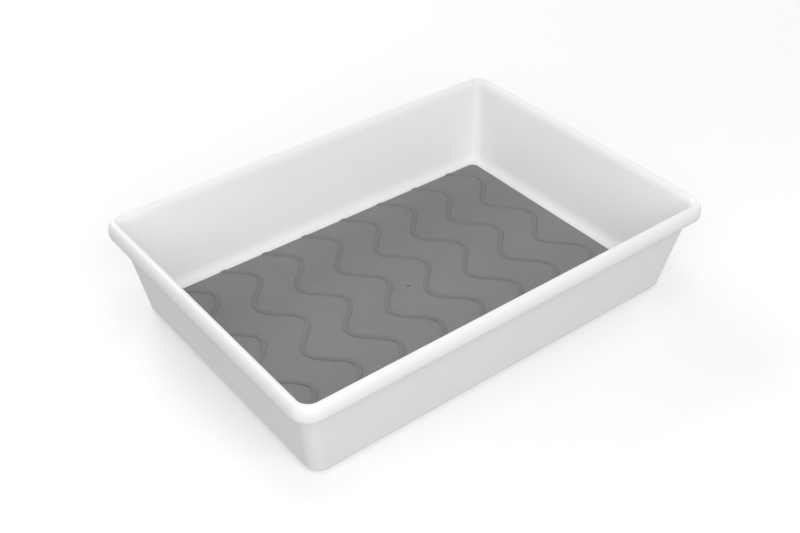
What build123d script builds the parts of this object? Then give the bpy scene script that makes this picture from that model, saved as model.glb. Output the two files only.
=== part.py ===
from build123d import *
import math
import os

# A shallow utility tray: a white moulded shell with a rolled lip, a soft grip
# liner moulded into a pocket in its floor, and four soft feet underneath.
# Millimetres, +Z up, +X along the long side. The origin lies on the plane the
# feet stand on, below the middle of the tray.

# Overall size
LENGTH = 350.0  # over the lip, along X
WIDTH = 247.0  # over the lip, along Y
HEIGHT = 74.4  # from the resting plane to the top of the lip

# Walls, drafted so that the tray widens upwards
FOOT_PROUD = 1.0  # how far the feet stand below the shell
BASE_Z = FOOT_PROUD  # underside of the shell's foot ring
WALL = 2.2  # wall thickness, measured level
WALL_INSET_BASE = 17.0  # outer wall to the lip's outermost line, at BASE_Z
WALL_INSET_LIP = 7.2  # the same, level with the lip's lower edge
WALL_CORNER = 10.0  # plan radius of the outer wall's corners
BASE_EDGE = 2.4  # rounding of the outer bottom edge
FLOOR_FILLET = 6.0  # between the inner walls and the floor

# Lip: an inverted J that rolls outwards and down
LIP_DEPTH = 11.7  # top of the lip to its lower edge
LIP_CORNER = 14.6  # plan radius of the lip's corners
LIP_WALL = 2.1
LIP_OUTER_ROUND = 3.0
LIP_INNER_ROUND = 5.2
LIP_CEILING_ROUND = 1.6  # under the roll, where it meets the wall
LIP_EDGE_ROUND = 0.8
LIP_Z = HEIGHT - LIP_DEPTH

# Floor: a land around a pocket that the liner fills
LAND_Z = BASE_Z + 5.7
POCKET_Z = BASE_Z + 4.4
PANEL_Z = BASE_Z + 2.0  # underside of the floor, inside the foot ring
FOOT_RING = 3.6  # width of the foot ring at BASE_Z
PANEL_CORNER = 7.0
PANEL_ROUND = 1.2

# Liner
LINER_LENGTH = 300.4
LINER_WIDTH = 197.4
LINER_CORNER = 5.9
LINER_Z = BASE_Z + 6.1  # its level field, a little above the land
LINER_EDGE_ROUND = 0.3

# Wave ribs across the liner
RIB_COUNT = 8
RIB_PITCH = 36.5
RIB_WIDTH = 3.9
RIB_PROUD = 0.7
RIB_SHOULDER = 0.45
WAVE_LENGTH = 61.1
WAVE_SWING = 10.5  # from the rib's middle line to a crest
WAVE_STEPS = 12  # spline points in one wave

# Moulding gate mark in the middle of the liner
GATE_RADIUS = 1.1
GATE_DEPTH = 0.5

# Feet, each in a collar under the floor
FOOT_RADIUS = 9.0
FOOT_X = 128.0
FOOT_Y = 77.0
FOOT_EDGE = 0.7
FOOT_WELL = 0.6  # how deep a foot goes into the floor
COLLAR_WALL = 2.2
COLLAR_Z = BASE_Z + 0.4  # lower rim of a collar
FEET = {
    "foot_front_left": (-FOOT_X, -FOOT_Y),
    "foot_front_right": (FOOT_X, -FOOT_Y),
    "foot_back_left": (-FOOT_X, FOOT_Y),
    "foot_back_right": (FOOT_X, FOOT_Y),
}


def outer_inset(z):
    """Level distance from the lip's outermost line to the outer wall at height z."""
    slope = (WALL_INSET_BASE - WALL_INSET_LIP) / (LIP_Z - BASE_Z)
    return WALL_INSET_BASE - slope * (z - BASE_Z)


def outline(inset, corner, z):
    """Rounded rectangle at height z, the given distance inside the lip's outline."""
    return Pos(0, 0, z) * RectangleRounded(LENGTH - 2 * inset, WIDTH - 2 * inset, corner)


def slab(inset, corner, low, high):
    """Straight-sided block between two heights."""
    return extrude(outline(inset, corner, low), high - low)


def drafted_block(thickness, corner, low, high):
    """Block whose sides follow the outer wall, moved inwards by thickness."""
    bottom = outline(outer_inset(low) + thickness, corner, low)
    top = outline(outer_inset(high) + thickness, corner, high)
    return loft([bottom, top], ruled=True)


def edges_at(shape, z):
    """Edges of the shape that lie level at height z."""
    return shape.edges().filter_by_position(Axis.Z, z - 0.01, z + 0.01)


def inner_loop(shape, z):
    """Inner edges of the level ring-shaped face at height z."""
    ring = shape.faces().filter_by(Axis.Z).filter_by_position(Axis.Z, z - 0.01, z + 0.01)[0]
    return ring.inner_wires()[0].edges()


def lip_hollow():
    """Space under the lip's roll, before the wall is put back through it."""
    hollow = slab(LIP_WALL, LIP_CORNER - LIP_WALL, LIP_Z, HEIGHT - LIP_WALL)
    return fillet(edges_at(hollow, HEIGHT - LIP_WALL), LIP_OUTER_ROUND - LIP_WALL)


def outer_body():
    """The tray's outside as one block: foot edge, drafted sides and hollow lip."""
    sides = drafted_block(0, WALL_CORNER, BASE_Z, HEIGHT)
    sides = fillet(edges_at(sides, BASE_Z), BASE_EDGE)
    lip = slab(0, LIP_CORNER, LIP_Z, HEIGHT)
    lip = fillet(edges_at(lip, HEIGHT), LIP_OUTER_ROUND)
    lip = fillet(edges_at(lip, LIP_Z), LIP_EDGE_ROUND)
    body = sides + (lip - lip_hollow())
    return fillet(inner_loop(body, HEIGHT - LIP_WALL), LIP_CEILING_ROUND)


def cavity():
    """The space inside the walls, rounded where it meets the floor."""
    space = drafted_block(WALL, WALL_CORNER - WALL, LAND_Z, HEIGHT)
    return fillet(edges_at(space, LAND_Z), FLOOR_FILLET)


def liner_outline(z):
    """The liner's outline at height z."""
    return Pos(0, 0, z) * RectangleRounded(LINER_LENGTH, LINER_WIDTH, LINER_CORNER)


def underside_panel():
    """Recess below the floor that leaves a foot ring around it."""
    panel = slab(WALL_INSET_BASE + FOOT_RING, PANEL_CORNER, BASE_Z, PANEL_Z)
    return fillet(edges_at(panel, PANEL_Z), PANEL_ROUND)


def disc(centre, radius, low, high):
    """Upright cylinder between two heights."""
    return extrude(Pos(centre[0], centre[1], low) * Circle(radius), high - low)


def tray_shell():
    """Shell with its lip, floor pocket, foot ring and four collars."""
    body = outer_body() - cavity()
    body = fillet(inner_loop(body, HEIGHT), LIP_INNER_ROUND)
    body -= extrude(liner_outline(POCKET_Z), LAND_Z - POCKET_Z)
    body -= underside_panel()
    for centre in FEET.values():
        body += disc(centre, FOOT_RADIUS + COLLAR_WALL, COLLAR_Z, PANEL_Z)
        body -= disc(centre, FOOT_RADIUS, COLLAR_Z, PANEL_Z + FOOT_WELL)
    return body


def wave_edge(middle, side):
    """One edge of a rib as a spline, half its width to one side of its middle line."""
    count = math.ceil(LINER_WIDTH / WAVE_LENGTH * WAVE_STEPS / 2) + 1
    points = []
    for step in range(-count, count + 1):
        y = step * WAVE_LENGTH / WAVE_STEPS
        angle = 2 * math.pi * y / WAVE_LENGTH
        slope = WAVE_SWING * 2 * math.pi / WAVE_LENGTH * math.cos(angle)
        reach = side * RIB_WIDTH / 2 / math.hypot(1, slope)
        points.append((middle + WAVE_SWING * math.sin(angle) + reach, y - reach * slope))
    return Spline(*points)


def wave_rib(middle):
    """One wave rib, long enough to pass both edges of the liner."""
    left, right = wave_edge(middle, -1), wave_edge(middle, 1)
    ends = [Line(left @ t, right @ t) for t in (0, 1)]
    band = make_face([left, right, *ends])
    rib = extrude(Pos(0, 0, POCKET_Z) * band, LINER_Z + RIB_PROUD - POCKET_Z)
    crown = edges_at(rib, LINER_Z + RIB_PROUD)
    return fillet(crown.sort_by(SortBy.LENGTH)[-2:], RIB_SHOULDER)


def grip_liner():
    """Soft liner: a level sheet with wave ribs and the gate mark in its middle."""
    sheet = extrude(liner_outline(POCKET_Z), LINER_Z - POCKET_Z)
    sheet = fillet(edges_at(sheet, LINER_Z), LINER_EDGE_ROUND)
    trim = extrude(liner_outline(POCKET_Z), LINER_Z + RIB_PROUD - POCKET_Z)
    for number in range(RIB_COUNT):
        middle = (number - (RIB_COUNT - 1) / 2) * RIB_PITCH
        sheet += wave_rib(middle) & trim
    return sheet - disc((0, 0), GATE_RADIUS, LINER_Z - GATE_DEPTH, LINER_Z)


def foot(centre):
    """Soft disc that stands below the shell, seated in its collar."""
    pad = disc(centre, FOOT_RADIUS, 0, PANEL_Z + FOOT_WELL)
    return fillet(edges_at(pad, 0), FOOT_EDGE)


def main():
    os.makedirs("parts", exist_ok=True)
    nodes = {"tray_shell": tray_shell(), "grip_liner": grip_liner()}
    for name, centre in FEET.items():
        nodes[name] = foot(centre)
    for name, shape in nodes.items():
        export_step(shape, f"parts/{name}.step")
        print(name, shape.bounding_box())


main()
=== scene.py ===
"""A shallow utility tray with a soft grip liner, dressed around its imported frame.

The shell, the liner and the four feet are built again as fine meshes inside the
space that their CAD nodes hold. All lengths are in metres, in the CAD frame.
"""

import logging
import math
from dataclasses import dataclass, field
from enum import Enum

import bmesh
import bpy
import numpy as np
from mathutils import Matrix, Vector


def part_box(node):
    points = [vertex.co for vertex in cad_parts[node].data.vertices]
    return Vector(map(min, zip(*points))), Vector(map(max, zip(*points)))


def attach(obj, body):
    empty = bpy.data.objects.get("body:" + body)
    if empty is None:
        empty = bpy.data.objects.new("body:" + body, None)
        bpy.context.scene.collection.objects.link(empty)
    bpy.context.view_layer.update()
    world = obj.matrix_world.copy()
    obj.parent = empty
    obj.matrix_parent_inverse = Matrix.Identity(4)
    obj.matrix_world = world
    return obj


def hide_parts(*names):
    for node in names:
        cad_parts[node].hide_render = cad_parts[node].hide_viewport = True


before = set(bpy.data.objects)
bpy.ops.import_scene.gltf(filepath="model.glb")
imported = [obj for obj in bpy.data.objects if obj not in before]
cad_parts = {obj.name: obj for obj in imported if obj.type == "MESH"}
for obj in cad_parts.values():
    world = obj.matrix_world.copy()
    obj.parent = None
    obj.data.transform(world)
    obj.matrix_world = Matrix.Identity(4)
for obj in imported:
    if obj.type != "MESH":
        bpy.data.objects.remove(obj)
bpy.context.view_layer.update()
BODY = "root"
MM = 0.001
Colour = tuple[float, float, float]
Loop = list[bmesh.types.BMVert]

log = logging.getLogger("tray")


class Node(Enum):
    """The CAD nodes of the two large mouldings."""

    SHELL = "tray_shell"
    LINER = "grip_liner"


class Foot(Enum):
    """The CAD nodes of the four feet."""

    FRONT_LEFT = "foot_front_left"
    FRONT_RIGHT = "foot_front_right"
    BACK_LEFT = "foot_back_left"
    BACK_RIGHT = "foot_back_right"


class Slot(Enum):
    """The record's material slots."""

    PLASTIC = "white_plastic"
    LINER = "grip_rubber"
    FOOT = "foot_rubber"


@dataclass(frozen=True)
class MouldedPlastic:
    """Satin white polypropylene, a little translucent, with a fine eroded grain.

    Attributes:
        rim_height: Height of the lip's crest, where hands polish it.
        ring_height: Height of the foot ring's sole, which is scuffed.
        name: Name of the material.
        colour: Main colour, linear.
        cloud_colour: Colour of the faint cloudy patches.
        scuff_colour: Colour of the scuffs under the foot ring.
        roughness: Roughness of untouched plastic.
        rubbed_roughness: Roughness where handling has polished it.
        grain_size: Size of one grain of the moulded texture.
        grain_depth: Height of that grain.
        ripple_size: Width of the slow waves that cooling leaves.
        ripple_depth: Height of those waves.
        bleed: How far light travels inside the plastic.
        cloud_size: Size of the cloudy patches.
        scuff_size: Size of one scuff.
        scuff_reach: Height above the sole at which the scuffs end.
        smear_size: Size of the polished smears.
        handled_reach: Depth below the crest to which hands polish the lip.
    """

    rim_height: float
    ring_height: float
    name: str = "satin_white_plastic"
    colour: Colour = (0.87, 0.87, 0.865)
    cloud_colour: Colour = (0.845, 0.845, 0.838)
    scuff_colour: Colour = (0.62, 0.615, 0.60)
    roughness: float = 0.47
    rubbed_roughness: float = 0.34
    grain_size: float = 0.45 * MM
    grain_depth: float = 0.012 * MM
    ripple_size: float = 45 * MM
    ripple_depth: float = 0.10 * MM
    bleed: float = 1.6 * MM
    cloud_size: float = 60 * MM
    scuff_size: float = 3.5 * MM
    scuff_reach: float = 1.6 * MM
    smear_size: float = 18 * MM
    handled_reach: float = 9 * MM

    def material(self) -> bpy.types.Material:
        """Writes out the node tree.

        Returns:
            The finished material.
        """
        made = bpy.data.materials.new(self.name)
        made.use_nodes = True
        nodes = made.node_tree.nodes
        links = made.node_tree.links
        nodes.clear()

        output = nodes.new("ShaderNodeOutputMaterial")
        output.label = "Surface of the moulding"
        shader = nodes.new("ShaderNodeBsdfPrincipled")
        shader.label = "Satin polypropylene"
        shader.inputs["IOR"].default_value = 1.49
        shader.inputs["Subsurface Weight"].default_value = 0.12
        shader.inputs["Subsurface Radius"].default_value = (1.0, 0.95, 0.85)
        shader.inputs["Subsurface Scale"].default_value = self.bleed
        place = nodes.new("ShaderNodeTexCoord")
        place.label = "Place on the tray"
        parts = nodes.new("ShaderNodeSeparateXYZ")
        parts.label = "Height on the tray"
        links.new(place.outputs["Object"], parts.inputs["Vector"])

        colour_frame = nodes.new("NodeFrame")
        colour_frame.label = "Faint clouding of the white"
        cloud = nodes.new("ShaderNodeTexNoise")
        cloud.label = "Uneven pigment"
        cloud.inputs["Scale"].default_value = 1 / self.cloud_size
        cloud.inputs["Detail"].default_value = 4.0
        cloud_mix = nodes.new("ShaderNodeMix")
        cloud_mix.label = "White to clouded white"
        cloud_mix.data_type = "RGBA"
        cloud_mix.inputs["A"].default_value = (*self.colour, 1)
        cloud_mix.inputs["B"].default_value = (*self.cloud_colour, 1)
        for node in (cloud, cloud_mix):
            node.parent = colour_frame
        links.new(place.outputs["Object"], cloud.inputs["Vector"])
        links.new(cloud.outputs["Fac"], cloud_mix.inputs["Factor"])

        scuff_frame = nodes.new("NodeFrame")
        scuff_frame.label = "Scuffs along the ring's sole"
        low = nodes.new("ShaderNodeMapRange")
        low.label = "Only the lowest part"
        low.inputs["From Min"].default_value = self.ring_height + self.scuff_reach
        low.inputs["From Max"].default_value = self.ring_height
        scrape = nodes.new("ShaderNodeTexNoise")
        scrape.label = "Broken scuffs"
        scrape.inputs["Scale"].default_value = 1 / self.scuff_size
        scrape.inputs["Detail"].default_value = 8.0
        scrape.inputs["Roughness"].default_value = 0.7
        broken = nodes.new("ShaderNodeMapRange")
        broken.label = "Only the strongest scuffs"
        broken.inputs["From Min"].default_value = 0.5
        broken.inputs["From Max"].default_value = 0.72
        broken.inputs["To Max"].default_value = 0.55
        scuff = nodes.new("ShaderNodeMath")
        scuff.label = "Scuffs on the ring"
        scuff.operation = "MULTIPLY"
        scuffed = nodes.new("ShaderNodeMix")
        scuffed.label = "White to scuffed"
        scuffed.data_type = "RGBA"
        scuffed.inputs["B"].default_value = (*self.scuff_colour, 1)
        for node in (low, scrape, broken, scuff, scuffed):
            node.parent = scuff_frame
        links.new(parts.outputs["Z"], low.inputs["Value"])
        links.new(place.outputs["Object"], scrape.inputs["Vector"])
        links.new(scrape.outputs["Fac"], broken.inputs["Value"])
        links.new(low.outputs["Result"], scuff.inputs[0])
        links.new(broken.outputs["Result"], scuff.inputs[1])
        links.new(scuff.outputs["Value"], scuffed.inputs["Factor"])
        links.new(cloud_mix.outputs["Result"], scuffed.inputs["A"])
        links.new(scuffed.outputs["Result"], shader.inputs["Base Color"])

        wear_frame = nodes.new("NodeFrame")
        wear_frame.label = "Polish from handling"
        rim = nodes.new("ShaderNodeMapRange")
        rim.label = "Rim that hands hold"
        rim.inputs["From Min"].default_value = self.rim_height - self.handled_reach
        rim.inputs["From Max"].default_value = self.rim_height
        rim.inputs["To Max"].default_value = 0.5
        smear = nodes.new("ShaderNodeTexNoise")
        smear.label = "Smears"
        smear.inputs["Scale"].default_value = 1 / self.smear_size
        smear.inputs["Detail"].default_value = 6.0
        smear.inputs["Distortion"].default_value = 0.6
        rubbed = nodes.new("ShaderNodeMath")
        rubbed.label = "Smeared and handled"
        rubbed.operation = "MULTIPLY_ADD"
        rubbed.use_clamp = True
        rubbed.inputs[1].default_value = 0.5
        polish = nodes.new("ShaderNodeMapRange")
        polish.label = "Roughness of the skin"
        polish.inputs["To Min"].default_value = self.roughness
        polish.inputs["To Max"].default_value = self.rubbed_roughness
        for node in (rim, smear, rubbed, polish):
            node.parent = wear_frame
        links.new(parts.outputs["Z"], rim.inputs["Value"])
        links.new(place.outputs["Object"], smear.inputs["Vector"])
        links.new(smear.outputs["Fac"], rubbed.inputs[0])
        links.new(rim.outputs["Result"], rubbed.inputs[2])
        links.new(rubbed.outputs["Value"], polish.inputs["Value"])
        links.new(polish.outputs["Result"], shader.inputs["Roughness"])

        skin_frame = nodes.new("NodeFrame")
        skin_frame.label = "Moulded skin"
        ripple = nodes.new("ShaderNodeTexNoise")
        ripple.label = "Slow waves from cooling"
        ripple.inputs["Scale"].default_value = 1 / self.ripple_size
        ripple.inputs["Detail"].default_value = 1.0
        ripple_bump = nodes.new("ShaderNodeBump")
        ripple_bump.label = "Waves into the surface"
        ripple_bump.inputs["Distance"].default_value = self.ripple_depth
        grain = nodes.new("ShaderNodeTexNoise")
        grain.label = "Eroded grain"
        grain.inputs["Scale"].default_value = 1 / self.grain_size
        grain.inputs["Detail"].default_value = 2.0
        grain_bump = nodes.new("ShaderNodeBump")
        grain_bump.label = "Grain into the surface"
        grain_bump.inputs["Distance"].default_value = self.grain_depth
        for node in (ripple, ripple_bump, grain, grain_bump):
            node.parent = skin_frame
        links.new(place.outputs["Object"], ripple.inputs["Vector"])
        links.new(ripple.outputs["Fac"], ripple_bump.inputs["Height"])
        links.new(place.outputs["Object"], grain.inputs["Vector"])
        links.new(grain.outputs["Fac"], grain_bump.inputs["Height"])
        links.new(ripple_bump.outputs["Normal"], grain_bump.inputs["Normal"])
        links.new(grain_bump.outputs["Normal"], shader.inputs["Normal"])
        links.new(shader.outputs["BSDF"], output.inputs["Surface"])

        for node, spot in (
            (output, (1150, 100)),
            (shader, (850, 100)),
            (place, (-1150, 0)),
            (parts, (-900, 160)),
            (cloud, (-600, 700)),
            (cloud_mix, (-300, 700)),
            (low, (-600, 440)),
            (scrape, (-900, 400)),
            (broken, (-600, 240)),
            (scuff, (-300, 400)),
            (scuffed, (0, 500)),
            (rim, (-600, 0)),
            (smear, (-600, -220)),
            (rubbed, (-300, -60)),
            (polish, (0, -60)),
            (ripple, (-600, -500)),
            (ripple_bump, (-300, -500)),
            (grain, (-600, -760)),
            (grain_bump, (0, -560)),
        ):
            node.location = spot
        return made


@dataclass(frozen=True)
class SoftRubber:
    """Matt grey thermoplastic rubber with a fine leathery grain and a little lint.

    Attributes:
        name: Name of the material.
        colour: Main colour, linear.
        worn_colour: Colour of the rubbed, slightly greyed patches.
        roughness: Roughness of clean rubber.
        dusty_roughness: Roughness of the rubbed patches.
        patch_size: Size of the rubbed patches.
        mottle_size: Size of the fine mottle.
        grain_size: Size of one grain of the texture.
        grain_depth: Height of that grain.
        speck_gap: Mean distance between the places where lint may lie.
        speck_reach: Radius of the largest speck.
        speck_share: Share of those places that hold a speck.
        speck_colour: Colour of the lint, linear.
    """

    name: str
    colour: Colour
    worn_colour: Colour
    roughness: float = 0.62
    dusty_roughness: float = 0.76
    patch_size: float = 35 * MM
    mottle_size: float = 1.4 * MM
    grain_size: float = 0.55 * MM
    grain_depth: float = 0.05 * MM
    speck_gap: float = 8 * MM
    speck_reach: float = 0.44 * MM
    speck_share: float = 0.2
    speck_colour: Colour = (0.42, 0.42, 0.41)

    def material(self) -> bpy.types.Material:
        """Writes out the node tree.

        Returns:
            The finished material.
        """
        made = bpy.data.materials.new(self.name)
        made.use_nodes = True
        nodes = made.node_tree.nodes
        links = made.node_tree.links
        nodes.clear()

        output = nodes.new("ShaderNodeOutputMaterial")
        output.label = "Surface of the rubber"
        shader = nodes.new("ShaderNodeBsdfPrincipled")
        shader.label = "Soft grey rubber"
        shader.inputs["IOR"].default_value = 1.5
        shader.inputs["Sheen Weight"].default_value = 0.05
        shader.inputs["Sheen Roughness"].default_value = 0.5
        place = nodes.new("ShaderNodeTexCoord")
        place.label = "Place on the tray"

        colour_frame = nodes.new("NodeFrame")
        colour_frame.label = "Mottled grey"
        patch = nodes.new("ShaderNodeTexNoise")
        patch.label = "Rubbed patches"
        patch.inputs["Scale"].default_value = 1 / self.patch_size
        patch.inputs["Detail"].default_value = 5.0
        patch.inputs["Roughness"].default_value = 0.6
        mottle = nodes.new("ShaderNodeTexNoise")
        mottle.label = "Fine mottle"
        mottle.inputs["Scale"].default_value = 1 / self.mottle_size
        mottle.inputs["Detail"].default_value = 3.0
        blend = nodes.new("ShaderNodeMath")
        blend.label = "Patch and mottle together"
        blend.operation = "MULTIPLY"
        grey = nodes.new("ShaderNodeMix")
        grey.label = "Clean to rubbed grey"
        grey.data_type = "RGBA"
        grey.inputs["A"].default_value = (*self.colour, 1)
        grey.inputs["B"].default_value = (*self.worn_colour, 1)
        for node in (patch, mottle, blend, grey):
            node.parent = colour_frame
        links.new(place.outputs["Object"], patch.inputs["Vector"])
        links.new(place.outputs["Object"], mottle.inputs["Vector"])
        links.new(patch.outputs["Fac"], blend.inputs[0])
        links.new(mottle.outputs["Fac"], blend.inputs[1])
        links.new(blend.outputs["Value"], grey.inputs["Factor"])

        lint_frame = nodes.new("NodeFrame")
        lint_frame.label = "Specks of lint"
        specks = nodes.new("ShaderNodeTexVoronoi")
        specks.label = "Where a speck may lie"
        specks.inputs["Scale"].default_value = 1 / self.speck_gap
        speck_size = nodes.new("ShaderNodeMath")
        speck_size.label = "Only close to the middle"
        speck_size.operation = "LESS_THAN"
        speck_size.inputs[1].default_value = self.speck_reach / self.speck_gap
        chance = nodes.new("ShaderNodeSeparateColor")
        chance.label = "A number for each place"
        chosen = nodes.new("ShaderNodeMath")
        chosen.label = "Few places hold one"
        chosen.operation = "LESS_THAN"
        chosen.inputs[1].default_value = self.speck_share
        speck = nodes.new("ShaderNodeMath")
        speck.label = "The specks"
        speck.operation = "MULTIPLY"
        dusted = nodes.new("ShaderNodeMix")
        dusted.label = "Lint over the grey"
        dusted.data_type = "RGBA"
        dusted.inputs["B"].default_value = (*self.speck_colour, 1)
        for node in (specks, speck_size, chance, chosen, speck, dusted):
            node.parent = lint_frame
        links.new(place.outputs["Object"], specks.inputs["Vector"])
        links.new(specks.outputs["Distance"], speck_size.inputs[0])
        links.new(specks.outputs["Color"], chance.inputs["Color"])
        links.new(chance.outputs["Red"], chosen.inputs[0])
        links.new(speck_size.outputs["Value"], speck.inputs[0])
        links.new(chosen.outputs["Value"], speck.inputs[1])
        links.new(grey.outputs["Result"], dusted.inputs["A"])
        links.new(speck.outputs["Value"], dusted.inputs["Factor"])
        links.new(dusted.outputs["Result"], shader.inputs["Base Color"])

        skin_frame = nodes.new("NodeFrame")
        skin_frame.label = "Leathery skin"
        dull = nodes.new("ShaderNodeMapRange")
        dull.label = "Roughness of the skin"
        dull.inputs["To Min"].default_value = self.roughness
        dull.inputs["To Max"].default_value = self.dusty_roughness
        grain = nodes.new("ShaderNodeTexNoise")
        grain.label = "Leathery grain"
        grain.inputs["Scale"].default_value = 1 / self.grain_size
        grain.inputs["Detail"].default_value = 3.0
        bump = nodes.new("ShaderNodeBump")
        bump.label = "Grain into the surface"
        bump.inputs["Distance"].default_value = self.grain_depth
        for node in (dull, grain, bump):
            node.parent = skin_frame
        links.new(patch.outputs["Fac"], dull.inputs["Value"])
        links.new(dull.outputs["Result"], shader.inputs["Roughness"])
        links.new(place.outputs["Object"], grain.inputs["Vector"])
        links.new(grain.outputs["Fac"], bump.inputs["Height"])
        links.new(bump.outputs["Normal"], shader.inputs["Normal"])
        links.new(shader.outputs["BSDF"], output.inputs["Surface"])

        for node, spot in (
            (output, (1000, 100)),
            (shader, (700, 100)),
            (place, (-1000, 0)),
            (patch, (-700, 500)),
            (mottle, (-700, 260)),
            (blend, (-450, 400)),
            (grey, (-200, 400)),
            (specks, (-700, 0)),
            (speck_size, (-450, 60)),
            (chance, (-450, -120)),
            (chosen, (-200, -120)),
            (speck, (20, 0)),
            (dusted, (300, 300)),
            (dull, (-200, -400)),
            (grain, (-450, -600)),
            (bump, (-200, -640)),
        ):
            node.location = spot
        return made


@dataclass(frozen=True)
class BackdropPaper:
    """Plain pale studio paper under the tray.

    Attributes:
        name: Name of the material.
        colour: Colour of the paper, linear.
    """

    name: str = "backdrop_paper"
    colour: Colour = (0.98, 0.98, 0.98)

    def material(self) -> bpy.types.Material:
        """Writes out the node tree.

        Returns:
            The finished material.
        """
        made = bpy.data.materials.new(self.name)
        made.use_nodes = True
        nodes = made.node_tree.nodes
        links = made.node_tree.links
        nodes.clear()
        output = nodes.new("ShaderNodeOutputMaterial")
        output.label = "Surface of the paper"
        output.location = (300, 0)
        shader = nodes.new("ShaderNodeBsdfDiffuse")
        shader.label = "Matt pale paper"
        shader.location = (0, 0)
        shader.inputs["Color"].default_value = (*self.colour, 1)
        links.new(shader.outputs["BSDF"], output.inputs["Surface"])
        return made


@dataclass(frozen=True)
class Ring:
    """One level loop of a moulding, as a rounded rectangle.

    Attributes:
        inset: Distance inside the lip's outermost line.
        height: Height of the loop.
        corner: Plan radius of its corners.
    """

    inset: float
    height: float
    corner: float


@dataclass(frozen=True)
class Bend:
    """One bend in a moulding's cross-section, rounded by an arc of a circle or ellipse.

    Attributes:
        inset: Distance of the sharp bend inside the lip's outermost line.
        height: Height of the sharp bend.
        corner: Plan radius of the tray's corner at the sharp bend.
        round: Radius of the arc that rounds the bend.
        steps: Spans along that arc.
        taper: How much the plan radius shrinks for each unit further inside.
        drawn_out: How far the arc is stretched along the leg after the bend.
    """

    inset: float
    height: float
    corner: float
    round: float = 0.0
    steps: int = 8
    taper: float = 1.0
    drawn_out: float = 1.0

    def rings(self, before: "Bend", after: "Bend") -> list[Ring]:
        """The level loops along the bend's arc.

        Args:
            before: The bend that comes before this one.
            after: The bend that comes after it.

        Returns:
            One ring for a sharp bend, else one for each end of a span.
        """
        here = Vector((self.inset, self.height))
        if not self.round:
            return [Ring(self.inset, self.height, self.corner)]
        back = (Vector((before.inset, before.height)) - here).normalized()
        onward = (Vector((after.inset, after.height)) - here).normalized()
        half = back.angle(onward) / 2
        start = self.round / math.tan(half)
        end = start * self.drawn_out
        # How near the cubic curve's handles stay to the sharp bend, as for an arc.
        pull = 1 - 4 / 3 * math.tan((math.pi - 2 * half) / 4) * math.tan(half)
        loops = []
        for step in range(self.steps + 1):
            t = step / self.steps
            back_share = (1 - t) ** 3 + 3 * t * (1 - t) ** 2 * pull
            onward_share = t**3 + 3 * t**2 * (1 - t) * pull
            point = here + back * start * back_share + onward * end * onward_share
            corner = self.corner - self.taper * (point.x - self.inset)
            loops.append(Ring(point.x, point.y, corner))
        return loops


def swept(bends: list[Bend]) -> list[Ring]:
    """The level loops of an open cross-section, first and last bends left sharp.

    Args:
        bends: The bends in order.

    Returns:
        All the rings in order.
    """
    loops = [Ring(bends[0].inset, bends[0].height, bends[0].corner)]
    for before, bend, after in zip(bends, bends[1:], bends[2:]):
        loops += bend.rings(before, after)
    return loops + [Ring(bends[-1].inset, bends[-1].height, bends[-1].corner)]


def rounded_loop(
    half: Vector, corner: float, corner_steps: int, side_steps: int
) -> np.ndarray:
    """Plan points of a rounded rectangle, anticlockwise from its right side.

    Args:
        half: Half its length and half its width.
        corner: Radius of its corners.
        corner_steps: Spans in each corner.
        side_steps: Spans along each straight side.

    Returns:
        An array of x and y.
    """
    quarter = np.linspace(0, math.pi / 2, corner_steps + 1)
    curves = []
    for turn, (sx, sy) in enumerate(((1, 1), (-1, 1), (-1, -1), (1, -1))):
        middle = (sx * (half.x - corner), sy * (half.y - corner))
        angles = quarter + turn * math.pi / 2
        curves.append(middle + corner * np.column_stack((np.cos(angles), np.sin(angles))))
    shares = np.linspace(0, 1, side_steps + 1)[1:-1, None]
    runs = []
    for number, curve in enumerate(curves):
        following = curves[(number + 1) % 4][0]
        runs += [curve, curve[-1] * (1 - shares) + following * shares]
    return np.vstack(runs)


def bridge(mesh: bmesh.types.BMesh, first: Loop, second: Loop) -> None:
    """Joins two loops of equal length with a band of quads.

    Args:
        mesh: The mesh that holds both loops.
        first: The vertices of one loop.
        second: The vertices of the other.
    """
    for i, vertex in enumerate(first):
        j = (i + 1) % len(first)
        mesh.faces.new((vertex, first[j], second[j], second[i]))


def loop_edges(mesh: bmesh.types.BMesh, loop: Loop) -> list[bmesh.types.BMEdge]:
    """The edges between neighbours in a closed loop of vertices."""
    return [mesh.edges.get((v, loop[(i + 1) % len(loop)])) for i, v in enumerate(loop)]


def turned(mesh: bmesh.types.BMesh, centre: Vector, rings: list[Ring], steps: int) -> list[Loop]:
    """Turns a cross-section about an upright axis.

    Args:
        mesh: The mesh to build in.
        centre: A point on the axis.
        rings: The section, with each ring's inset as its distance from the axis.
        steps: Spans around the axis.

    Returns:
        The vertices of each loop in order.
    """
    angles = np.linspace(0, 2 * math.pi, steps, endpoint=False)
    loops = []
    for ring in rings:
        x = centre.x + ring.inset * np.cos(angles)
        y = centre.y + ring.inset * np.sin(angles)
        loops.append([mesh.verts.new((*place, ring.height)) for place in zip(x, y)])
    for first, second in zip(loops, loops[1:]):
        bridge(mesh, first, second)
    return loops


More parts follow.
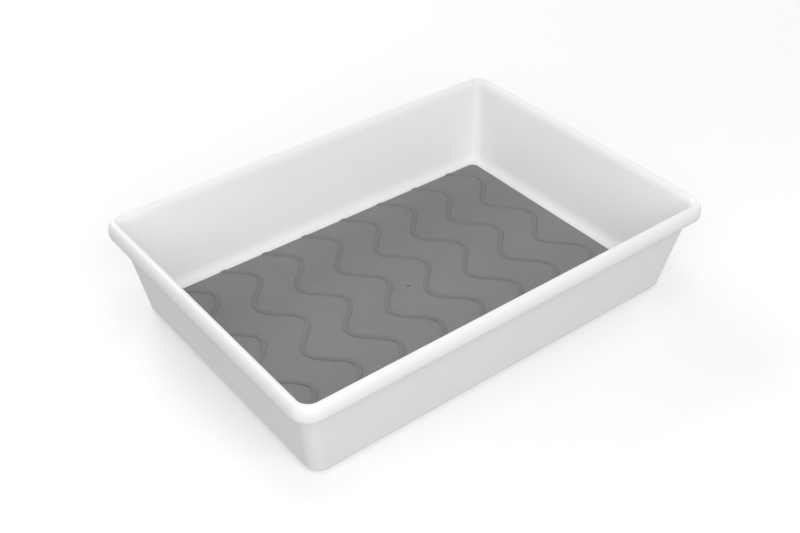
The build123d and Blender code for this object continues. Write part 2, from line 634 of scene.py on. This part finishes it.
def finish_piece(
    mesh: bmesh.types.BMesh, name: str, material: bpy.types.Material, sharp: float
) -> bpy.types.Object:
    """Turns a built mesh into a smooth-shaded object in the scene.

    Args:
        mesh: The closed mesh, which is freed.
        name: Name of the piece.
        material: Its first material.
        sharp: Angle in degrees above which an edge stays sharp.

    Returns:
        The new object.
    """
    bmesh.ops.recalc_face_normals(mesh, faces=mesh.faces)
    for face in mesh.faces:
        face.smooth = True
    for edge in mesh.edges:
        edge.smooth = edge.calc_face_angle(0.0) < math.radians(sharp)
    data = bpy.data.meshes.new(name)
    mesh.to_mesh(data)
    mesh.free()
    data.materials.append(material)
    piece = bpy.data.objects.new(name, data)
    bpy.context.scene.collection.objects.link(piece)
    shading = piece.modifiers.new("even_shading", "WEIGHTED_NORMAL")
    shading.keep_sharp = True
    return piece


def settle(piece: bpy.types.Object, node: Enum) -> None:
    """Puts a piece on its body in the place of its CAD node and reports it.

    Args:
        piece: The new piece, already in place.
        node: The CAD node that it stands for.
    """
    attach(piece, BODY)
    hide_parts(node.value)
    size = piece.dimensions / MM
    faces = len(piece.data.polygons)
    log.info("%s: %d faces, %.1f x %.1f x %.1f mm", piece.name, faces, *size)


@dataclass
class TrayShell:
    """The white moulding: walls, rolled lip, floor pocket, foot ring and collars.

    An inset is measured inwards from the lip's outermost line, and a rise upwards
    from the foot ring's sole. A stretch is how far a bend's arc is drawn out along
    its second leg.

    Attributes:
        material: The plastic.
        wall: Wall thickness, measured level.
        wall_inset_base: Inset of the wall's outside at the sole.
        wall_inset_lip: Inset of the wall's outside at the lip's lower edge.
        wall_corner: Plan radius of the outer wall's corners.
        base_edge: Radius of the edge between the wall and the sole.
        floor_fillet: Radius where the wall meets the floor, before its stretch.
        floor_stretch: Stretch of that fillet.
        lip_depth: Height of the lip, from its lower edge to its crest.
        lip_corner: Plan radius of the lip's corners.
        lip_wall: Thickness of the skirt and of the lip's top.
        lip_outer_round: Radius of the crest's outer bend, before its stretch.
        lip_outer_stretch: Stretch of that bend.
        lip_inner_round: Radius of the crest's inner bend, before its stretch.
        lip_inner_stretch: Stretch of that bend.
        lip_ceiling_round: Radius where the wall meets the hollow below the lip.
        lip_hollow_round: Radius in that hollow's outer corner.
        lip_edge_round: Radius of the skirt's lower inner edge.
        lip_under_round: Radius of its lower outer edge, before its stretch.
        lip_under_stretch: Stretch of that edge.
        lip_taper: How fast the crest's plan radius shrinks inwards.
        land_rise: Rise of the floor's rim beside the pocket.
        pocket_rise: Rise of the floor's pocket.
        pocket_edge: Radius of the pocket's upper edge.
        panel_rise: Rise of the recess's ceiling below the floor.
        panel_margin: Width of the band of that ceiling beside the ring.
        panel_corner: Plan radius of the recess's corners.
        panel_round: Radius where the ring meets that ceiling.
        foot_ring: Width of the ring below the walls.
        ring_edge: Radius of the ring's inner edge.
        collar_wall: Thickness of a foot's collar.
        collar_rise: Rise of the collar's lower edge.
        collar_edge: Radius of the collar's edges.
        foot_clearance: Gap between a foot and its collar.
        edge_arc: Spans in the bends of small edges.
        small_arc: Spans in the bends of the recess and of the skirt's inside.
        wall_arc: Spans in the bends at the foot and head of the wall's outside.
        under_arc: Spans in the skirt's lower outer bend.
        lip_arc: Spans in each bend of the crest.
        floor_arc: Spans in the floor fillet.
        corner_steps: Spans around each corner of the plan.
        side_steps: Spans along each side of the plan.
        turned_steps: Spans around a collar.
        sharp_angle: Angle in degrees above which an edge stays sharp.
        half: Half the length and half the width over the lip.
        base: Height of the foot ring's sole.
        top: Height of the crest.
        pocket_inset: Inset of the pocket's side.
    """

    material: bpy.types.Material
    wall: float = 2.2 * MM
    wall_inset_base: float = 17.0 * MM
    wall_inset_lip: float = 7.2 * MM
    wall_corner: float = 10.0 * MM
    base_edge: float = 2.4 * MM
    floor_fillet: float = 9.0 * MM
    floor_stretch: float = 0.6
    lip_depth: float = 11.7 * MM
    lip_corner: float = 14.6 * MM
    lip_wall: float = 2.1 * MM
    lip_outer_round: float = 8.2 * MM
    lip_outer_stretch: float = 0.5
    lip_inner_round: float = 3.9 * MM
    lip_inner_stretch: float = 2.0
    lip_ceiling_round: float = 1.6 * MM
    lip_hollow_round: float = 1.3 * MM
    lip_edge_round: float = 0.8 * MM
    lip_under_round: float = 1.25 * MM
    lip_under_stretch: float = 2.7
    lip_taper: float = 0.9
    land_rise: float = 5.7 * MM
    pocket_rise: float = 4.4 * MM
    pocket_edge: float = 0.25 * MM
    panel_rise: float = 2.0 * MM
    panel_margin: float = 2.0 * MM
    panel_corner: float = 7.0 * MM
    panel_round: float = 1.2 * MM
    foot_ring: float = 3.6 * MM
    ring_edge: float = 0.4 * MM
    collar_wall: float = 2.2 * MM
    collar_rise: float = 0.4 * MM
    collar_edge: float = 0.35 * MM
    foot_clearance: float = 0.1 * MM
    edge_arc: int = 4
    small_arc: int = 6
    wall_arc: int = 8
    under_arc: int = 10
    lip_arc: int = 14
    floor_arc: int = 16
    corner_steps: int = 20
    side_steps: int = 12
    turned_steps: int = 64
    sharp_angle: float = 50.0
    half: Vector = field(init=False)
    base: float = field(init=False)
    top: float = field(init=False)
    pocket_inset: float = field(init=False)

    def __post_init__(self) -> None:
        """Reads the heights and outlines that the frame holds."""
        low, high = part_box(Node.SHELL.value)
        self.half = Vector((high.x, high.y))
        self.base = low.z
        self.top = high.z
        self.pocket_inset = high.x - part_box(Node.LINER.value)[1].x

    def outer_wall(self, height: float) -> float:
        """Inset of the wall's outside at a height."""
        wall_height = self.top - self.lip_depth - self.base
        slope = (self.wall_inset_base - self.wall_inset_lip) / wall_height
        return self.wall_inset_base - slope * (height - self.base)

    def section(self) -> list[Bend]:
        """The cross-section, from the recess below the floor to the pocket in it.

        Returns:
            The bends in order.
        """
        panel = self.base + self.panel_rise
        ring = self.wall_inset_base + self.foot_ring
        ceiling = self.top - self.lip_wall
        lip_edge = self.top - self.lip_depth
        land = self.base + self.land_rise
        inner_corner = self.wall_corner - self.wall
        hollow_corner = self.lip_corner - self.lip_wall
        liner_corner = GripLiner.corner
        return [
            Bend(ring + self.panel_margin, panel, self.panel_corner - self.panel_margin),
            Bend(ring, panel, self.panel_corner, self.panel_round, self.small_arc),
            Bend(ring, self.base, self.panel_corner, self.ring_edge, self.edge_arc),
            Bend(
                self.wall_inset_base, self.base, self.wall_corner, self.base_edge, self.wall_arc
            ),
            Bend(
                self.outer_wall(ceiling),
                ceiling,
                self.wall_corner,
                self.lip_ceiling_round,
                self.wall_arc,
            ),
            Bend(self.lip_wall, ceiling, hollow_corner, self.lip_hollow_round, self.small_arc),
            Bend(self.lip_wall, lip_edge, hollow_corner, self.lip_edge_round, self.small_arc),
            Bend(
                0,
                lip_edge,
                self.lip_corner,
                self.lip_under_round,
                self.under_arc,
                drawn_out=self.lip_under_stretch,
            ),
            Bend(
                0,
                self.top,
                self.lip_corner,
                self.lip_outer_round,
                self.lip_arc,
                self.lip_taper,
                self.lip_outer_stretch,
            ),
            Bend(
                self.outer_wall(self.top) + self.wall,
                self.top,
                inner_corner,
                self.lip_inner_round,
                self.lip_arc,
                self.lip_taper,
                self.lip_inner_stretch,
            ),
            Bend(
                self.outer_wall(land) + self.wall,
                land,
                inner_corner,
                self.floor_fillet,
                self.floor_arc,
                drawn_out=self.floor_stretch,
            ),
            Bend(self.pocket_inset, land, liner_corner, self.pocket_edge, self.edge_arc),
            Bend(self.pocket_inset, self.base + self.pocket_rise, liner_corner),
        ]

    def collar(self, mesh: bmesh.types.BMesh, foot: Foot) -> Loop:
        """Builds one foot's collar and well below the floor.

        Args:
            mesh: The shell's mesh.
            foot: The foot that stands in it.

        Returns:
            The vertices of the collar's outermost loop, on the recess's ceiling.
        """
        low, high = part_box(foot.value)
        radius = (high.x - low.x) / 2 + self.foot_clearance
        outside = radius + self.collar_wall
        panel = self.base + self.panel_rise
        rim = self.base + self.collar_rise
        bends = [
            Bend(outside + 2 * self.collar_edge, panel, 0),
            Bend(outside, panel, 0, self.collar_edge, self.edge_arc),
            Bend(outside, rim, 0, self.collar_edge, self.edge_arc),
            Bend(radius, rim, 0, self.collar_edge, self.edge_arc),
            Bend(radius, high.z, 0),
        ]
        loops = turned(mesh, (low + high) / 2, swept(bends), self.turned_steps)
        mesh.faces.new(loops[-1])
        return loops[0]

    def build(self) -> bpy.types.Object:
        """Builds the shell and settles it in the place of its node.

        Returns:
            The shell.
        """
        mesh = bmesh.new()
        loops = []
        for ring in swept(self.section()):
            half = self.half - Vector((ring.inset, ring.inset))
            plan = rounded_loop(half, ring.corner, self.corner_steps, self.side_steps)
            loops.append([mesh.verts.new((x, y, ring.height)) for x, y in plan])
        for first, second in zip(loops, loops[1:]):
            bridge(mesh, first, second)
        mesh.faces.new(loops[-1])
        edges = loop_edges(mesh, loops[0])
        for foot in Foot:
            edges += loop_edges(mesh, self.collar(mesh, foot))
        bmesh.ops.triangle_fill(mesh, edges=edges, use_beauty=True, normal=(0, 0, -1))
        piece = finish_piece(mesh, "moulded_shell", self.material, self.sharp_angle)
        settle(piece, Node.SHELL)
        return piece


@dataclass
class GripLiner:
    """The soft grey sheet in the floor's pocket, with its wave ribs and gate mark.

    Attributes:
        material: The rubber of the field.
        rib_and_shade_material: The smoother, darker rubber of the ribs, its darkness partly
            painted shade on their sides, and painted shade in the gate mark's dimple.
        corner: Plan radius of the sheet's corners.
        edge_round: Radius of its upper edge.
        rib_count: Number of ribs, side by side along X.
        rib_pitch: Distance from one rib to the next.
        rib_width: Width of a rib over its sides.
        rib_proud: Height of a rib above the field.
        rib_side: Height of its steep side, below the shoulder.
        rib_shoulder: Width of its rounded shoulder.
        rib_toe: How far its side leans out at the foot.
        wave_length: Length of one wave along Y.
        wave_swing: How far a rib swings to each side.
        gate_radius: Radius of the gate mark.
        gate_depth: Depth of its dimple.
        gate_edge: Where the dimple's side starts, in radii of the mark.
        gate_side: Width of that side, in radii.
        gate_rim: Height of the faint rim around the dimple.
        gate_rim_place: Where that rim is highest, in radii.
        gate_rim_width: Distance over which the rim falls away, in radii.
        gate_patch: Length along Y of the closely meshed patch around the mark,
            which is twice as long along X.
        gate_step: Spacing of the patch's rows and columns.
        row_step: Largest spacing of the other rows.
        field_columns: Spans from one rib to the next.
        beside_spans: Spans from the patch to the nearest rib.
        shoulder_spans: Spans in a rib's shoulder.
        corner_spans: Rows in each corner.
        edge_spans: Spans in the sheet's upper edge.
        sharp_angle: Angle in degrees above which an edge stays sharp.
        half: Half the sheet's length and half its width.
        bottom: Height of its underside.
        ground: Height of its top between the ribs.
    """

    material: bpy.types.Material
    rib_and_shade_material: bpy.types.Material
    corner: float = 5.9 * MM
    edge_round: float = 0.3 * MM
    rib_count: int = 8
    rib_pitch: float = 36.5 * MM
    rib_width: float = 3.7 * MM
    rib_proud: float = 0.7 * MM
    rib_side: float = 0.2 * MM
    rib_shoulder: float = 0.7 * MM
    rib_toe: float = 0.12 * MM
    wave_length: float = 61.1 * MM
    wave_swing: float = 10.5 * MM
    gate_radius: float = 1.1 * MM
    gate_depth: float = 1.0 * MM
    gate_edge: float = 1.15
    gate_side: float = 0.3
    gate_rim: float = 0.06 * MM
    gate_rim_place: float = 1.6
    gate_rim_width: float = 0.3
    gate_patch: float = 3.4 * MM
    gate_step: float = 0.2 * MM
    row_step: float = 1.0 * MM
    field_columns: int = 5
    beside_spans: int = 3
    shoulder_spans: int = 6
    corner_spans: int = 12
    edge_spans: int = 4
    sharp_angle: float = 40.0
    half: Vector = field(init=False)
    bottom: float = field(init=False)
    ground: float = field(init=False)

    def __post_init__(self) -> None:
        """Reads the outline and heights that the frame holds."""
        low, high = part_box(Node.LINER.value)
        self.half = Vector((high.x, high.y))
        self.bottom = low.z
        self.ground = high.z - self.rib_proud

    def rib_section(self) -> tuple[np.ndarray, np.ndarray]:
        """A rib's cross-section, from one foot over its flat top to the other.

        Returns:
            Distances from its middle line, and heights above the field.
        """
        turn = np.linspace(0, math.pi / 2, self.shoulder_spans + 1)
        reach = self.rib_width / 2 - self.rib_shoulder * (1 - np.cos(turn))
        rise = self.rib_side + (self.rib_proud - self.rib_side) * np.sin(turn)
        reach = np.concatenate(([self.rib_width / 2 + self.rib_toe], reach))
        rise = np.concatenate(([0.0], rise))
        across = np.concatenate((-reach, [0.0], reach[::-1]))
        return across, np.concatenate((rise, [self.rib_proud], rise[::-1]))

    def rows(self) -> np.ndarray:
        """The places of the rows along Y, closer at the corners and the gate mark."""
        corner = self.corner - self.edge_round
        straight = self.half.y - self.corner
        turn = np.linspace(0, math.pi / 2, self.corner_spans + 1)
        curve = straight + corner * np.sin(turn)
        gate = np.arange(0, self.gate_patch / 2, self.gate_step)
        spans = math.ceil((straight - self.gate_patch / 2) / self.row_step)
        plain = np.linspace(self.gate_patch / 2, straight, spans + 1)
        side = np.concatenate((gate, plain, curve[1:]))
        return np.concatenate((-side[:0:-1], side))

    def reach_x(self, y: float) -> float:
        """How far the field's outline lies from the middle in a row."""
        corner = self.corner - self.edge_round
        into = max(0.0, abs(y) - (self.half.y - self.corner))
        return self.half.x - self.corner + math.sqrt(max(0.0, corner**2 - into**2))

    def row(self, y: float, gate_shares: np.ndarray) -> tuple[np.ndarray, np.ndarray]:
        """One row of the top surface.

        Args:
            y: Its place.
            gate_shares: Where the close columns by the gate mark stand, as shares
                of the way from one middle rib to the other.

        Returns:
            The places along X and the heights.
        """
        across, rise = self.rib_section()
        angle = 2 * math.pi * y / self.wave_length
        slope = 2 * math.pi * self.wave_swing / self.wave_length * math.cos(angle)
        shares = np.linspace(0, 1, self.field_columns + 1)[1:-1]
        edge = self.reach_x(y)
        xs, zs = [np.array([-edge])], [np.zeros(1)]
        for number in range(self.rib_count):
            middle = (number - (self.rib_count - 1) / 2) * self.rib_pitch
            rib = middle + self.wave_swing * math.sin(angle) + across * math.hypot(1, slope)
            between = gate_shares if number == self.rib_count // 2 else shares
            gap = xs[-1][-1] + (rib[0] - xs[-1][-1]) * between
            xs += [gap, rib]
            zs += [np.zeros(len(gap)), rise]
        gap = xs[-1][-1] + (edge - xs[-1][-1]) * shares
        x = np.concatenate(xs + [gap, [edge]])
        z = np.concatenate(zs + [np.zeros(len(gap) + 1)])
        return x, z + self.gate_height(np.hypot(x, y))

    def gate_height(self, distance: np.ndarray) -> np.ndarray:
        """Height of the gate mark's dimple and its faint rim at distances from it."""
        edge = self.gate_edge * self.gate_radius
        side = self.gate_side * self.gate_radius
        inside = np.clip((edge - distance) / side, 0, 1)
        dimple = self.gate_depth * inside**2 * (3 - 2 * inside)
        crest = self.gate_rim_place * self.gate_radius
        spread = self.gate_rim_width * self.gate_radius
        return self.gate_rim * np.exp(-(((distance - crest) / spread) ** 2)) - dimple

    def outward(self, x: float, y: float) -> Vector:
        """Level direction out of the liner at a point on its outline."""
        straight_x = self.half.x - self.corner
        straight_y = self.half.y - self.corner
        past = Vector((abs(x) - straight_x, abs(y) - straight_y))
        if past.x > 0 and past.y > 0:
            past.normalize()
        else:
            past = Vector((1, 0)) if past.x > past.y else Vector((0, 1))
        return Vector((math.copysign(past.x, x), math.copysign(past.y, y)))

    def build(self) -> bpy.types.Object:
        """Builds the liner and settles it in the place of its node.

        Returns:
            The liner.
        """
        steepest = 2 * math.pi * self.wave_swing / self.wave_length
        rib_reach = self.rib_section()[0][-1] * math.hypot(1, steepest)
        middle_reach = self.rib_pitch / 2 - rib_reach
        close = np.arange(-self.gate_patch, self.gate_patch + self.gate_step / 2, self.gate_step)
        sides = np.linspace(self.gate_patch, middle_reach, self.beside_spans + 1)[1:-1]
        places = np.concatenate((-sides[::-1], close, sides))
        gate_shares = (places + middle_reach) / (2 * middle_reach)

        mesh = bmesh.new()
        grid = []
        for y in self.rows():
            xs, zs = self.row(y, gate_shares)
            grid.append([mesh.verts.new((x, y, self.ground + z)) for x, z in zip(xs, zs)])
        for low, high in zip(grid, grid[1:]):
            for i in range(len(low) - 1):
                face = mesh.faces.new((low[i], low[i + 1], high[i + 1], high[i]))
                # Rib faces, their sides too, take the darker rib rubber, partly painted shade;
                # the gate dimple's faces take it as painted shade in the hollow.
                heights = [corner.co.z - self.ground for corner in face.verts]
                on_rib = max(heights) > self.rib_side / 2
                painted_shade_dimple = min(heights) < -self.gate_depth / 2
                face.material_index = int(on_rib or painted_shade_dimple)
        border = grid[0] + [row[-1] for row in grid[1:-1]]
        border += grid[-1][::-1] + [row[0] for row in grid[-2:0:-1]]
        facing = [self.outward(v.co.x, v.co.y) for v in border]
        last = border
        for turn in np.linspace(0, math.pi / 2, self.edge_spans + 1)[1:]:
            out = self.edge_round * math.sin(turn)
            down = self.edge_round * (1 - math.cos(turn))
            ring = [
                mesh.verts.new((v.co.x + out * way.x, v.co.y + out * way.y, v.co.z - down))
                for v, way in zip(border, facing)
            ]
            bridge(mesh, last, ring)
            last = ring
        base = [mesh.verts.new((v.co.x, v.co.y, self.bottom)) for v in last]
        bridge(mesh, last, base)
        mesh.faces.new(base)
        piece = finish_piece(mesh, "soft_grip_liner", self.material, self.sharp_angle)
        piece.data.materials.append(self.rib_and_shade_material)
        settle(piece, Node.LINER)
        return piece


@dataclass
class SoftFoot:
    """A soft disc with a rounded edge and a shallow hollow in its sole.

    Attributes:
        material: The rubber.
        foot: Which of the four it is.
        edge_round: Radius of the sole's outer edge.
        sole_width: Width of the ring that stands on a table.
        hollow_depth: Depth of the hollow, and width of its sloping side.
        hollow_round: Radius of the hollow's edges.
        edge_arc: Spans in the bend of the outer edge.
        hollow_arc: Spans in each bend of the hollow.
        turned_steps: Spans around the foot.
        sharp_angle: Angle in degrees above which an edge stays sharp.
    """

    material: bpy.types.Material
    foot: Foot
    edge_round: float = 0.7 * MM
    sole_width: float = 2.9 * MM
    hollow_depth: float = 0.3 * MM
    hollow_round: float = 0.2 * MM
    edge_arc: int = 8
    hollow_arc: int = 4
    turned_steps: int = 64
    sharp_angle: float = 50.0

    def build(self) -> bpy.types.Object:
        """Builds the foot and settles it in the place of its node.

        Returns:
            The foot.
        """
        low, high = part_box(self.foot.value)
        radius = (high.x - low.x) / 2
        sole = radius - self.sole_width
        hollow = low.z + self.hollow_depth
        bends = [
            Bend(sole / 4, hollow, 0),
            Bend(sole - self.hollow_depth, hollow, 0, self.hollow_round, self.hollow_arc),
            Bend(sole, low.z, 0, self.hollow_round, self.hollow_arc),
            Bend(radius, low.z, 0, self.edge_round, self.edge_arc),
            Bend(radius, high.z, 0),
        ]
        mesh = bmesh.new()
        loops = turned(mesh, (low + high) / 2, swept(bends), self.turned_steps)
        mesh.faces.new(loops[0])
        mesh.faces.new(loops[-1])
        piece = finish_piece(mesh, f"soft_{self.foot.value}", self.material, self.sharp_angle)
        settle(piece, self.foot)
        return piece


def bearing(azimuth: float, elevation: float) -> Vector:
    """The direction from the tray to a place around it.

    Args:
        azimuth: Turn about the upright axis in degrees, with 0 on the -Y side.
        elevation: Height in degrees.

    Returns:
        The unit vector.
    """
    turn, rise = math.radians(azimuth), math.radians(elevation)
    level = math.cos(rise)
    return Vector((math.sin(turn) * level, -math.cos(turn) * level, math.sin(rise)))


@dataclass(frozen=True)
class StudioCamera:
    """The camera, aimed at the tray from above its front left corner.

    Attributes:
        azimuth: Turn of the view about the upright axis, in degrees.
        elevation: Height of the view, in degrees.
        roll: Tilt of the picture, in degrees.
        distance: From the aim to the lens.
        aim_height: Height of the aim on the tray's upright axis.
        pan_right: Sideways step of the camera.
        pan_up: Upward step of the camera, across the view.
        lens: Focal length in millimetres.
        sensor: Width of the sensor in millimetres.
        nearest: Distance before which nothing is drawn.
    """

    azimuth: float = -38.511
    elevation: float = 37.136
    roll: float = 0.426
    distance: float = 819.99 * MM
    aim_height: float = 31.0 * MM
    pan_right: float = -6.154 * MM
    pan_up: float = -4.839 * MM
    lens: float = 51.114
    sensor: float = 36.0
    nearest: float = 10 * MM

    def place(self) -> None:
        """Adds the camera and makes it the scene's own."""
        turn, roll = math.radians(self.azimuth), math.radians(self.roll)
        back = bearing(self.azimuth, self.elevation)
        level = Vector((math.cos(turn), math.sin(turn), 0))
        upright = back.cross(level)
        right = math.cos(roll) * level + math.sin(roll) * upright
        up = -math.sin(roll) * level + math.cos(roll) * upright
        spot = Vector((0, 0, self.aim_height)) + back * self.distance
        spot += right * self.pan_right + up * self.pan_up
        data = bpy.data.cameras.new("studio_camera")
        data.lens = self.lens
        data.sensor_width = self.sensor
        data.clip_start = self.nearest
        camera = bpy.data.objects.new("studio_camera", data)
        facing = Matrix((right, up, back)).transposed().to_4x4()
        camera.matrix_world = Matrix.Translation(spot) @ facing
        bpy.context.scene.collection.objects.link(camera)
        bpy.context.scene.camera = camera
        log.info("studio_camera: %.1f mm lens, %.0f mm away", self.lens, self.distance / MM)


@dataclass(frozen=True)
class SoftBox:
    """A square area light that faces the tray.

    Attributes:
        name: Name of the light.
        azimuth: Side it stands on, in degrees, as for the camera.
        elevation: Height in degrees.
        distance: From the tray's middle.
        size: Length of its side.
        power: Power in watts.
    """

    name: str
    azimuth: float
    elevation: float
    distance: float
    size: float
    power: float

    def place(self) -> None:
        """Adds the light and turns it to the tray."""
        back = bearing(self.azimuth, self.elevation)
        data = bpy.data.lights.new(self.name, "AREA")
        data.size = self.size
        data.energy = self.power
        light = bpy.data.objects.new(self.name, data)
        light.location = back * self.distance
        light.rotation_euler = back.to_track_quat("Z", "Y").to_euler()
        bpy.context.scene.collection.objects.link(light)


@dataclass(frozen=True)
class Studio:
    """Pale paper floor, white surroundings and large soft lights.

    The floor lets light from below through to the tray, as a light table does.

    Attributes:
        paper: Material of the floor.
        floor_reach: Half the floor's length.
        floor_spans: Faces along each side of the floor.
        surround: Strength of the even light from all around.
        boxes: The soft boxes.
    """

    paper: bpy.types.Material
    floor_reach: float = 4.0
    floor_spans: int = 8
    surround: float = 0.47
    boxes: tuple[SoftBox, ...] = (
        SoftBox("front_box", -12, 35, distance=1.2, size=0.9, power=4.65),
        SoftBox("camera_box", -45, 35, distance=1.0, size=0.8, power=2.5),
        SoftBox("left_box", -80, 30, distance=1.5, size=1.0, power=1.8),
        SoftBox("back_box", 180, 25, distance=1.8, size=1.2, power=15.0),
        SoftBox("right_box", 90, 15, distance=1.8, size=1.2, power=9.0),
        SoftBox("over_box", 0, 88, distance=1.4, size=0.4, power=1.1),
    )

    def build(self) -> None:
        """Lays the floor, sets the surroundings and hangs the lights."""
        mesh = bmesh.new()
        spans = self.floor_spans
        bmesh.ops.create_grid(mesh, x_segments=spans, y_segments=spans, size=self.floor_reach)
        data = bpy.data.meshes.new("paper_floor")
        mesh.to_mesh(data)
        mesh.free()
        data.materials.append(self.paper)
        floor = bpy.data.objects.new("paper_floor", data)
        bpy.context.scene.collection.objects.link(floor)
        floor.visible_diffuse = False
        floor.visible_glossy = False
        floor.visible_shadow = False
        world = bpy.data.worlds.new("white_surroundings")
        world.use_nodes = True
        sky = world.node_tree.nodes["Background"]
        sky.label = "Even white light from all around"
        sky.inputs["Color"].default_value = (1, 1, 1, 1)
        sky.inputs["Strength"].default_value = self.surround
        bpy.context.scene.world = world
        for box in self.boxes:
            box.place()
        bpy.context.scene.view_settings.view_transform = "Standard"
        log.info("studio: paper floor and %d soft boxes", len(self.boxes))


def main() -> None:
    """Builds and dresses the tray piece by piece, then its studio."""
    logging.basicConfig(level=logging.INFO, format="%(name)s: %(message)s")
    StudioCamera().place()
    shell_low, shell_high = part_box(Node.SHELL.value)
    plastic = MouldedPlastic(rim_height=shell_high.z, ring_height=shell_low.z)
    TrayShell(plastic.material()).build()
    liner_rubber = SoftRubber(
        "liner_rubber", colour=(0.200, 0.200, 0.198), worn_colour=(0.276, 0.276, 0.272)
    )
    # Darker than the field: partly a smoother finish, partly painted shade on the ribs' sides
    # and in the gate dimple.
    rib_and_shade_rubber = SoftRubber(
        "rib_and_shade_rubber",
        colour=(0.172, 0.172, 0.170),
        worn_colour=(0.212, 0.212, 0.209),
        roughness=0.38,
        dusty_roughness=0.48,
        grain_depth=0.006 * MM,
    )
    GripLiner(liner_rubber.material(), rib_and_shade_rubber.material()).build()
    foot_rubber = SoftRubber(
        "foot_rubber", colour=(0.200, 0.200, 0.198), worn_colour=(0.260, 0.260, 0.255)
    )
    foot_material = foot_rubber.material()
    for foot in Foot:
        SoftFoot(foot_material, foot).build()
    Studio(BackdropPaper().material()).build()


if __name__ == "__main__":
    main()
